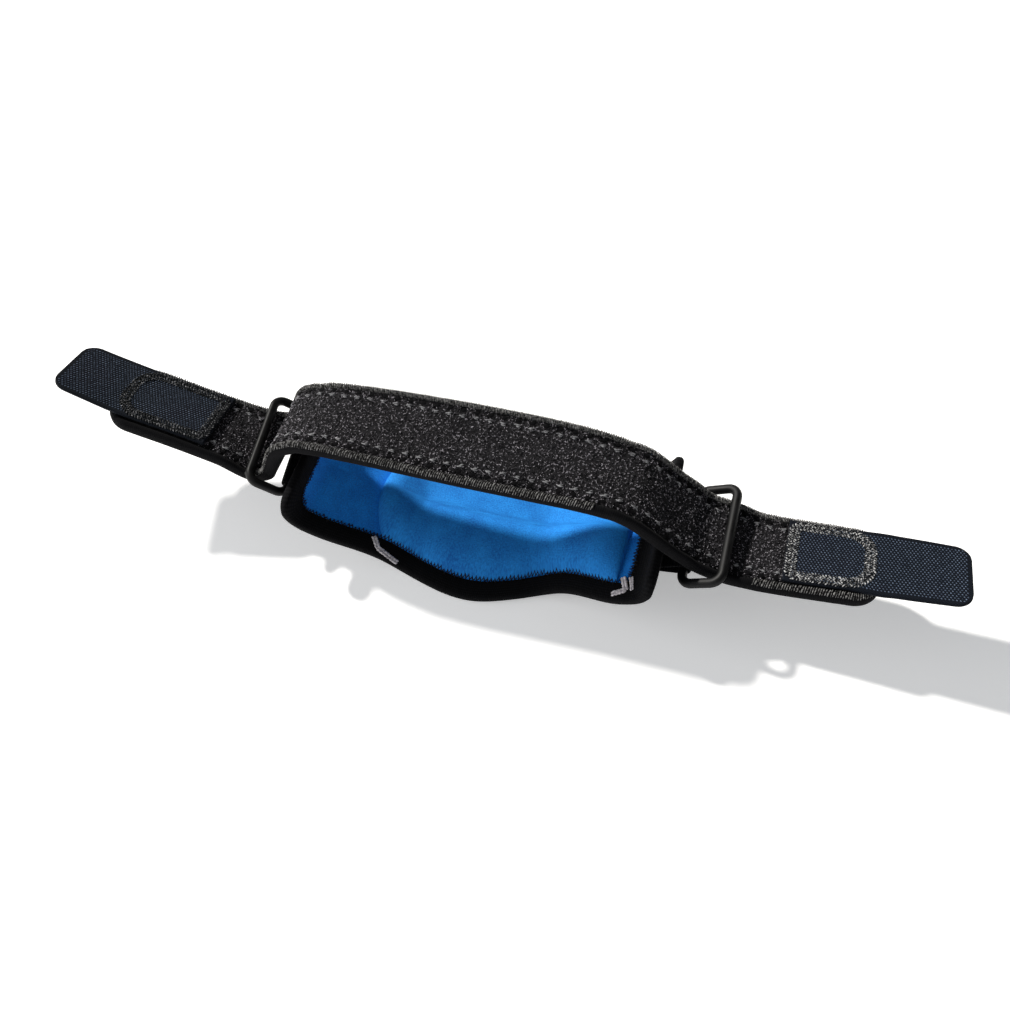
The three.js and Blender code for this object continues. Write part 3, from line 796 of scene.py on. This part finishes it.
# Webbing loops that hold the rings
keeper = {"width": 35, "ply": 1.3, "flap": 18, "flapFromEnd": 18, "wrap": 200}


def keeperRoute(side, y):
    near = padHalfLength - keeper["flapFromEnd"]
    upper = gap + keeper["ply"] / 2
    lower = upper + keeper["ply"] + gap
    loopRadius = ringForm["wire"] / 2 + gap + keeper["ply"] / 2
    bar = barAt(side, -1, y)
    away = (bar - onPad(side * near, y, -(upper + lower) / 2)).normalized()
    rise = Vector((-away.z, 0, away.x)) * side
    flap = [near - keeper["flap"] * (1 - i / 12) for i in range(13)]
    points = [onPad(side * along, y, -lower) for along in flap]
    for i in range(25):
        angle = math.radians(keeper["wrap"]) * (i / 24 - 0.5)
        points.append(bar + away * loopRadius * math.cos(angle) + rise * loopRadius * math.sin(angle))
    points += [onPad(side * along, y, -upper) for along in reversed(flap)]
    even = evenly([tuple(point) for point in points], 0.7, False, math.dist)[0]
    return [Vector(point) for point in even]


def makeKeeper(side, name, node):
    half = keeper["width"] / 2
    routes = [keeperRoute(side, y) for y in (-half, half)]
    steps = min(len(route) for route in routes) - 1
    edges = []
    for route in routes:
        edge = []
        for i in range(steps + 1):
            at = i / steps * (len(route) - 1)
            k = min(len(route) - 2, int(at))
            edge.append(route[k].lerp(route[k + 1], at - k))
        edges.append(edge)

    def place(share, turn):
        i = round(share * steps)
        centre = [edge[i] for edge in edges]
        ahead = [edge[min(steps, i + 1)] - edge[max(0, i - 1)] for edge in edges]
        angle = 2 * math.pi * turn
        width = math.copysign(abs(math.cos(angle)) ** 0.35, math.cos(angle))
        thick = math.copysign(abs(math.sin(angle)) ** 0.5, math.sin(angle)) * keeper["ply"] / 2
        part = (width + 1) / 2
        forward = ahead[0].lerp(ahead[1], part).normalized()
        normal = Vector((-forward.z, 0, forward.x)) * side
        return centre[0].lerp(centre[1], part) + normal * thick

    bm = tube(steps, 48, place, 72.0)
    return declare(asMesh(bm, name, "webbing"), [node])


# Strap: the same route as the frame's solids follow
strapForm = {
    "width": 40.2, "bandThick": 4.7, "pileThick": 1.4, "beadWidth": 2.7, "beadThick": 7, "arch": 65.2,
    "endRadius": 13, "endTurn": 75, "clearance": 1.2,
    "tails": {
        -1: {"length": 95, "rise": 31, "tabFree": 26},
        1: {"length": 100.8, "rise": 5.6, "tabFree": 35}},
    "archRows": (
        (-1.1, 0.673, 0), (-1.063, 0.787, -1), (-1.024, 0.862, -2), (-0.963, 0.914, -3),
        (-0.863, 0.963, -3), (-0.646, 0.992, 0), (-0.337, 1.0, 5), (0, 1.0, 8), (0.318, 0.998, 7),
        (0.54, 0.985, 3), (0.694, 0.955, 0), (0.809, 0.908, 0), (0.915, 0.797, 0), (0.983, 0.712, 0)),
    "entryRows": {-1: ((0.5, -0.17, -3),), 1: ((0.96, 0.11, 0), (0.63, -0.16, -1))},
    "tailRows": {
        -1: ((0.16, 0.16, -10), (0.4, 0.37, -12), (0.67, 0.61, -11), (0.84, 0.8, -13), (1, 1, -15)),
        1: ((0.12, -0.46, -5), (0.25, -0.38, -6), (0.47, 0.02, -8), (0.7, 0.43, -8), (1, 0.9, -13))},
}
beadHalf = strapForm["beadThick"] / 2
bandBottom = -beadHalf + gap
bandTop = bandBottom + strapForm["bandThick"]
pileBottom = bandTop + gap
pileTop = pileBottom + strapForm["pileThick"]


def strapRows():
    drop = ringForm["wire"] / 2 + strapForm["clearance"] + beadHalf

    def tail(side):
        bar = barAt(side, 1, 0)
        low = bar.z - drop
        form = strapForm["tails"][side]
        rows = [(bar.x - side * inwards * ringForm["pitch"], bar.z + up * ringForm["pitch"], roll)
                for inwards, up, roll in strapForm["entryRows"][side]]
        rows.append((bar.x, low, -ringPlaces[side]["roll"]))
        for along, rise, roll in strapForm["tailRows"][side]:
            rows.append((bar.x + side * along * form["length"], low + rise * form["rise"], roll))
        return rows

    arch = [(along * padReach, rise * strapForm["arch"], roll)
            for along, rise, roll in strapForm["archRows"]]
    return tail(-1)[::-1] + arch + tail(1)


def centripetal(points, share):
    place = (len(points) - 1) * share
    at = min(len(points) - 2, int(place))
    weight = place - at
    p1, p2 = points[at], points[at + 1]
    p0 = points[at - 1] if at > 0 else p1 * 2 - p2
    p3 = points[at + 2] if at + 2 < len(points) else p2 * 2 - p1
    spans = [(b - a).length_squared ** 0.25 for a, b in ((p0, p1), (p1, p2), (p2, p3))]
    if spans[1] < 1e-4:
        spans[1] = 1.0
    spans[0] = spans[0] if spans[0] >= 1e-4 else spans[1]
    spans[2] = spans[2] if spans[2] >= 1e-4 else spans[1]
    start = (p1 - p0) / spans[0] - (p2 - p0) / (spans[0] + spans[1]) + (p2 - p1) / spans[1]
    end = (p2 - p1) / spans[1] - (p3 - p1) / (spans[1] + spans[2]) + (p3 - p2) / spans[2]
    start *= spans[1]
    end *= spans[1]
    return (p1 + start * weight + (p2 * 3 - p1 * 3 - start * 2 - end) * weight ** 2
            + (p1 * 2 - p2 * 2 + start + end) * weight ** 3)


def routeTable():
    rows = strapRows()
    middle = [Vector((x, 0, z)) for x, z, roll in rows]
    turns = [math.radians(roll) for x, z, roll in rows]
    rolls = [Vector((0, math.cos(turn), math.sin(turn))) for turn in turns]
    marks = []
    for i in range(2401):
        share = i / 2400
        ahead = centripetal(middle, min(1, share + 0.0001)) - centripetal(middle, max(0, share - 0.0001))
        sideways = centripetal(rolls, share).normalized()
        up = ahead.cross(sideways).normalized()
        marks.append((*centripetal(middle, share), *sideways, *up))
    return evenly(marks, 0.25, False, lambda a, b: math.dist(a[:3], b[:3]))


routeMarks, routeLength = routeTable()
print("strap route:", round(routeLength, 1), "mm")


def onStrap(distance, across, height):
    place = min(len(routeMarks) - 1.001, max(0.0, distance / routeLength * (len(routeMarks) - 1)))
    at = int(place)
    share = place - at
    a, b = routeMarks[at], routeMarks[at + 1]
    here = [mix(x, y, share) for x, y in zip(a, b)]
    over = distance - min(routeLength, max(0.0, distance))
    ahead = (Vector(b[:3]) - Vector(a[:3])).normalized() * over
    return Vector(here[:3]) + Vector(here[3:6]) * across + Vector(here[6:]) * height + ahead


strapStart = strapForm["tails"][-1]["tabFree"] + strapForm["endRadius"]
strapEnd = routeLength - strapForm["tails"][1]["tabFree"] - strapForm["endRadius"]
cornerAcross = strapForm["width"] / 2 - strapForm["endRadius"]


# Shares of a grid to a flat place inside the strap's outline, following its round ends
def strapOutline(inset):
    radius = strapForm["endRadius"] - inset
    arc = radius * math.radians(strapForm["endTurn"])
    straight = strapEnd - strapStart

    def outline(share, width):
        at = (share + 1) / 2 * (straight + 2 * arc) - arc
        angle = max(0.0, -at, at - straight) / radius
        half = cornerAcross + radius * math.cos(angle)
        if at < 0:
            distance = strapStart - radius * math.sin(angle)
        elif at > straight:
            distance = strapEnd + radius * math.sin(angle)
        else:
            distance = strapStart + at
        return distance, width * half
    return outline


# The strap's edge, from the left end to the right one: distance, across and the way outwards
def edgeTableOf():
    radius = strapForm["endRadius"]
    points = []
    for i in range(25):
        angle = math.radians(strapForm["endTurn"] * (1 - i / 24))
        points.append((strapStart - radius * math.sin(angle), cornerAcross + radius * math.cos(angle),
                       -math.sin(angle), math.cos(angle)))
    for i in range(25):
        angle = math.radians(strapForm["endTurn"] * i / 24)
        points.append((strapEnd + radius * math.sin(angle), cornerAcross + radius * math.cos(angle),
                       math.sin(angle), math.cos(angle)))
    return evenly(points, 0.5, False, lambda a, b: math.dist(a[:2], b[:2]))


edgeTable, edgeLength = edgeTableOf()


def besideEdge(side):
    def place(station, inset, height):
        at = min(len(edgeTable) - 1.001, max(0.0, station / edgeLength * (len(edgeTable) - 1)))
        share = at - int(at)
        a, b = edgeTable[int(at)], edgeTable[int(at) + 1]
        distance, across, outAlong, outAcross = (mix(x, y, share) for x, y in zip(a, b))
        return onStrap(distance - outAlong * inset, side * (across - outAcross * inset), height)
    return place


def makeBand():
    outline = strapOutline(strapForm["beadWidth"] + gap)
    bm = slab(560, 16, outline, lambda x, y: bandBottom, lambda x, y: bandTop)
    bend(bm, onStrap)
    return declare(asMesh(bm, "strapBand", "shell"), ["strap_band"])


pile = {
    "rough": 0.4, "fine": 0.25, "sunk": 0.5, "settle": 0.5,
    "holePitch": 6.3, "holeFromEdge": 5.1, "holeDepth": 1.5, "holeSize": 0.9,
    "loopPitch": 1.04, "loopRadius": 0.55, "loopThread": 0.17, "loopSunk": 0.2,
    "loopWidth": (0.75, 1.6), "loopRise": (0.8, 1.4), "loopLean": 68,
}


def holeDip(station, fromEdge):
    nearest = (station / pile["holePitch"] % 1 - 0.5) * pile["holePitch"]
    spread = (nearest ** 2 + (fromEdge - pile["holeFromEdge"]) ** 2) / (2 * pile["holeSize"] ** 2)
    return pile["holeDepth"] * math.exp(-spread)


def makePile():
    half = strapForm["width"] / 2

    def top(distance, across):
        fuzz = noise.noise(Vector((distance * 0.9, across * 0.9, 1))) * pile["rough"]
        fuzz += noise.noise(Vector((distance * 1.9, across * 1.9, 5))) * pile["fine"]
        fromEdge = half - abs(across)
        settle = pile["settle"] * (1 - smoothStep(3, 6, fromEdge))
        return pileTop - pile["sunk"] + fuzz - settle - holeDip(distance, fromEdge)

    bm = slab(700, 58, strapOutline(strapForm["beadWidth"] + gap), lambda x, y: pileBottom, top)
    bend(bm, onStrap)
    return declare(asMesh(bm, "loopPileFace", "pile"), ["strap_pile"])


# Curled fibres between the tabs: one arch repeated on a wide grid, then each set down at random
def makeLoops():
    pitch, radius, spread = pile["loopPitch"], pile["loopRadius"], 4.0
    start = tab["length"] - 2
    half = strapForm["width"] / 2
    columns = int((routeLength - 2 * start) / pitch)
    rows = int((strapForm["width"] - 2 * strapForm["beadWidth"] - 0.6) / pitch)
    bm = bmesh.new()
    foot = Matrix.Translation((radius, 0, 0))
    bmesh.ops.create_circle(bm, segments=3, radius=pile["loopThread"], matrix=foot)
    bmesh.ops.spin(bm, geom=bm.verts[:] + bm.edges[:], angle=-math.pi, steps=3, axis=(0, 1, 0),
                   cent=(0, 0, 0))
    closeEnds(bm)
    repeat(bm, columns, (spread, 0, 0))
    repeat(bm, rows, (0, spread, 0))
    places = {}
    for i in range(columns):
        for j in range(rows):
            along = start + (i + chance.random()) * pitch
            across = (j + chance.random() - rows / 2) * pitch
            isBare = holeDip(along, half - abs(across)) > 0.5
            width = 0.0 if isBare else mix(*pile["loopWidth"], chance.random())
            tip = math.radians(mix(-pile["loopLean"], pile["loopLean"], chance.random()))
            lean = Matrix.Rotation(tip, 4, "X")
            turn = Matrix.Rotation(math.radians(chance.random() * 180), 4, "Z")
            low = pileTop - pile["sunk"] - pile["loopSunk"]
            rise = mix(*pile["loopRise"], chance.random())
            places[i, j] = (Matrix.Translation((along, across, low)) @ turn @ lean
                            @ Matrix.Diagonal((width, 1, rise, 1)), isBare)
    bare = []
    for vert in bm.verts:
        i, j = round(vert.co.x / spread), round(vert.co.y / spread)
        place, isBare = places[i, j]
        if isBare:
            bare.append(vert)
        else:
            vert.co = place @ Vector((vert.co.x - i * spread, vert.co.y - j * spread, vert.co.z))
    bmesh.ops.delete(bm, geom=bare, context="VERTS")
    bend(bm, onStrap)
    declare(asMesh(bm, "pileLoops", "loops"))


bead = {
    "ribPitch": 1.05, "thread": 0.56, "slant": 1.1, "uneven": (0.5, 0.35, 0.25),
    # Painted shade: along the left tail and the right descent the near edge's light ribs are left out, so
    # only its near-black core shows there
    "ribbedOutsidePaintedShade": {-1: ((76, 262), (343, 999)), 1: ((0, 999),)},
    "core": (
        (2.65, -3.2), (1.4, -3.3), (0.5, -2.5), (0.15, -1.0),
        (0.15, 1.0), (0.5, 2.5), (1.4, 3.3), (2.65, 3.2)),
    "rib": ((0.1, 2.3), (0.45, 2.95), (1.2, 3.5), (2.1, 3.65), (2.9, 3.4), (3.4, 3.0)),
}


def makeBead(side, name, node):
    place = besideEdge(side)
    core = bead["core"]
    bm = tube(round(edgeLength / 0.8), len(core), lambda share, turn: Vector((
        share * edgeLength, *core[round(turn * len(core)) % len(core)])), 18.0)
    bend(bm, place)
    # Painted shade: the near edge's core takes the near-black tape finish, while the far edge's core is the
    # grey overlock thread; both are the same binding
    declare(asMesh(bm, name, "tape" if side < 0 else "edge"), [node])

    rib = bead["rib"]

    def ribPlace(share, turn):
        at = share * (len(rib) - 1)
        k = min(len(rib) - 2, int(at))
        inset, height = (mix(a, b, at - k) for a, b in zip(rib[k], rib[k + 1]))
        slope = Vector((rib[k + 1][0] - rib[k][0], rib[k + 1][1] - rib[k][1])).normalized()
        angle = 2 * math.pi * turn
        size = bead["thread"] / 2 * (0.35 + 0.65 * math.sin(math.pi * (share * 0.94 + 0.03)) ** 0.4)
        out = math.cos(angle) * size
        station = math.sin(angle) * size + bead["slant"] * (share - 0.5)
        return Vector((station, inset - slope.y * out, height + slope.x * out))

    bm = bmesh.new()
    for first, last in bead["ribbedOutsidePaintedShade"][side]:
        row = tube(len(rib) - 1, 6, ribPlace, 2.0)
        repeat(row, int((min(last, edgeLength) - first) / bead["ribPitch"]), (bead["ribPitch"], 0, 0))
        bmesh.ops.translate(row, vec=(first, 0, 0), verts=row.verts[:])
        moveInto(bm, row)
    alongBy, insetBy, heightBy = bead["uneven"]
    for vert in bm.verts:
        index = round(vert.co.x / bead["ribPitch"])
        vert.co.x += noise.noise(Vector((index * 0.71, 0.3, side))) * alongBy + bead["ribPitch"] / 2
        vert.co.y += noise.noise(Vector((index * 1.37, 5.3, side))) * insetBy
        vert.co.z += noise.noise(Vector((index * 1.13, 9.3, side))) * heightBy
    bend(bm, place)
    declare(asMesh(bm, name + "Ribs", "edge"))


seam = {
    "tuftAt": 7.7, "tuftSize": (3.3, 0.85, 0.8), "shortSize": (2.0, 0.8, 0.7), "shortShift": (0.4, 0.75),
    # Size of the near-black discs over the needle holes: the black band showing through, and painted shade
    # inside the holes
    "holeShadeDiscSize": (2.4, 2.1, 0.5), "jitter": (0.9, 0.2),
}


def makeSeams():
    bm = bmesh.new()
    pitch = pile["holePitch"]
    count = int((strapEnd - strapStart) / pitch)
    start = (math.floor(strapStart / pitch) + 1) * pitch + pitch / 2
    half = strapForm["width"] / 2
    for side in (-1, 1):
        offset = side * (half - seam["tuftAt"])
        stitches(bm, start, pitch, count, seam["tuftSize"], 8 * side, offset, pileTop + 0.1)
        along, across = seam["shortShift"]
        stitches(bm, start + along, pitch, count, seam["shortSize"], -6 * side,
                 offset - side * across, pileTop)
    for vert in bm.verts:
        jitter = noise.noise(Vector((vert.co.x * 0.4, vert.co.y * 0.2, 2)))
        vert.co.y += jitter * seam["jitter"][0]
        vert.co.z += jitter * seam["jitter"][1]
    bend(bm, onStrap)
    declare(asMesh(bm, "strapSeams", "sewing"))

    # Flat near-black discs over the needle holes: the black band that shows through them, and painted shade
    # inside them
    bm = bmesh.new()
    for side in (-1, 1):
        offset = side * (half - pile["holeFromEdge"])
        stitches(bm, start, pitch, count, seam["holeShadeDiscSize"], 0, offset, pileTop - 0.05, 8, 6)
    bend(bm, onStrap)
    declare(asMesh(bm, "strapHolesBandAndPaintedShade", "tape"))


# Hook tape tabs, sewn on with a wide zigzag
tab = {
    "width": 33.4, "thick": 1.6, "length": 76, "corner": 7,
    "hookPitch": (1.45, 1.2), "hook": (0.9, 0.6, 0.6), "hookTurn": 38, "hookFromTip": 2.2,
    "bandFromEdge": 2.9, "bandPastStrap": 5.5, "bandFromBack": 2.8, "endRadius": 10.0, "backRadius": 3.0,
    "stitchPitch": 1.35, "stitch": (2.1, 0.75, 0.6), "stitchLift": 0.35,
    "stitchRows": ((-1.9, 50), (-0.65, -45), (0.65, 48), (1.9, -50)),
    # The left tab's stitches take the darker copy of the speckled thread as painted shade
    "stitching": {-1: "paintedShadeSpeckle", 1: "speckle"},
}


def tabHalf(fromTip):
    if fromTip >= tab["corner"]:
        return tab["width"] / 2
    over = tab["corner"] - fromTip
    return tab["width"] / 2 - tab["corner"] + math.sqrt(max(0.0, tab["corner"] ** 2 - over ** 2))


def bandPath(side):
    near = strapForm["tails"][side]["tabFree"] + tab["bandPastStrap"]
    far = tab["length"] - tab["bandFromBack"]
    half = tab["width"] / 2 - tab["bandFromEdge"]
    points = []
    for x, y, radius, first in ((near, half, tab["endRadius"], 180), (far, half, tab["backRadius"], 90),
                                (far, -half, tab["backRadius"], 0), (near, -half, tab["endRadius"], -90)):
        centreX = x + radius if x == near else x - radius
        centreY = y - math.copysign(radius, y)
        for i in range(9):
            angle = math.radians(first - 90 * i / 8)
            points.append((centreX + radius * math.cos(angle), centreY + radius * math.sin(angle),
                           math.cos(angle), math.sin(angle)))
    return evenly(points, 0.5, True, lambda a, b: math.dist(a[:2], b[:2]))


def makeTab(side, name, node):
    base = beadHalf + gap

    def toDistance(fromTip):
        return fromTip if side < 0 else routeLength - fromTip

    def outline(share, width):
        fromTip = tab["length"] * ((share + 1) / 2) ** 1.15
        return fromTip, width * tabHalf(fromTip)

    def onTab(fromTip, across, height):
        return onStrap(toDistance(fromTip), across, height)

    bm = slab(110, 40, outline, lambda x, y: base, lambda x, y: base + tab["thick"] - 0.25)
    bend(bm, onTab)
    declare(asMesh(bm, name, "hookBase"), [node])

    top = base + tab["thick"] - 0.3
    pitchX, pitchY = tab["hookPitch"]
    bm = bmesh.new()
    first = tab["hookFromTip"]
    count = int((tab["length"] - 4) / pitchX)
    rows = int((tab["width"] - 2.4) / pitchY)
    for row in range(rows):
        across = (row - (rows - 1) / 2) * pitchY
        shift = pitchX / 2 if row % 2 else 0.0
        stitches(bm, first + shift, pitchX, count, tab["hook"], tab["hookTurn"], across, top)
    outside = []
    for vert in bm.verts:
        hookAt = first + round((vert.co.x - first) / (pitchX / 2)) * pitchX / 2
        if abs(round(vert.co.y / (pitchY / 2)) * pitchY / 2) > tabHalf(hookAt) - 0.9:
            outside.append(vert)
    bmesh.ops.delete(bm, geom=outside, context="VERTS")
    bend(bm, onTab)
    declare(asMesh(bm, name + "Hooks", "hooks"))

    path, length = bandPath(side)
    bm = bmesh.new()
    count = int(length / tab["stitchPitch"])
    for offset, turn in tab["stitchRows"]:
        stitches(bm, chance.random(), length / count, count, tab["stitch"], turn, offset,
                 top + tab["stitchLift"])
    for vert in bm.verts:
        vert.co.z += noise.noise(Vector((vert.co.x * 0.6, vert.co.y * 0.8, side))) * 0.35

    def onBand(station, offset, height):
        at = station / length * len(path)
        a, b = path[int(at) % len(path)], path[(int(at) + 1) % len(path)]
        x, y, outX, outY = (mix(p, q, at - int(at)) for p, q in zip(a, b))
        return onTab(x + outX * offset, y + outY * offset, height)

    bend(bm, onBand)
    declare(asMesh(bm, name + "Stitches", tab["stitching"][side]))


placeCamera()
lightStudio()
makeShell()
makeLining()
makePocket()
makeBinding()
makePaleMarks()
makeRing(-1, "ringLeft", "ring_left")
makeRing(1, "ringRight", "ring_right")
makeKeeper(-1, "keeperLeft", "ring_keeper_left")
makeKeeper(1, "keeperRight", "ring_keeper_right")
makeBand()
makePile()
makeLoops()
makeBead(-1, "edgeNear", "strap_binding_near")
makeBead(1, "edgeFar", "strap_binding_far")
makeSeams()
makeTab(-1, "hookTabLeft", "hook_tab_left")
makeTab(1, "hookTabRight", "hook_tab_right")

print("pieces done")
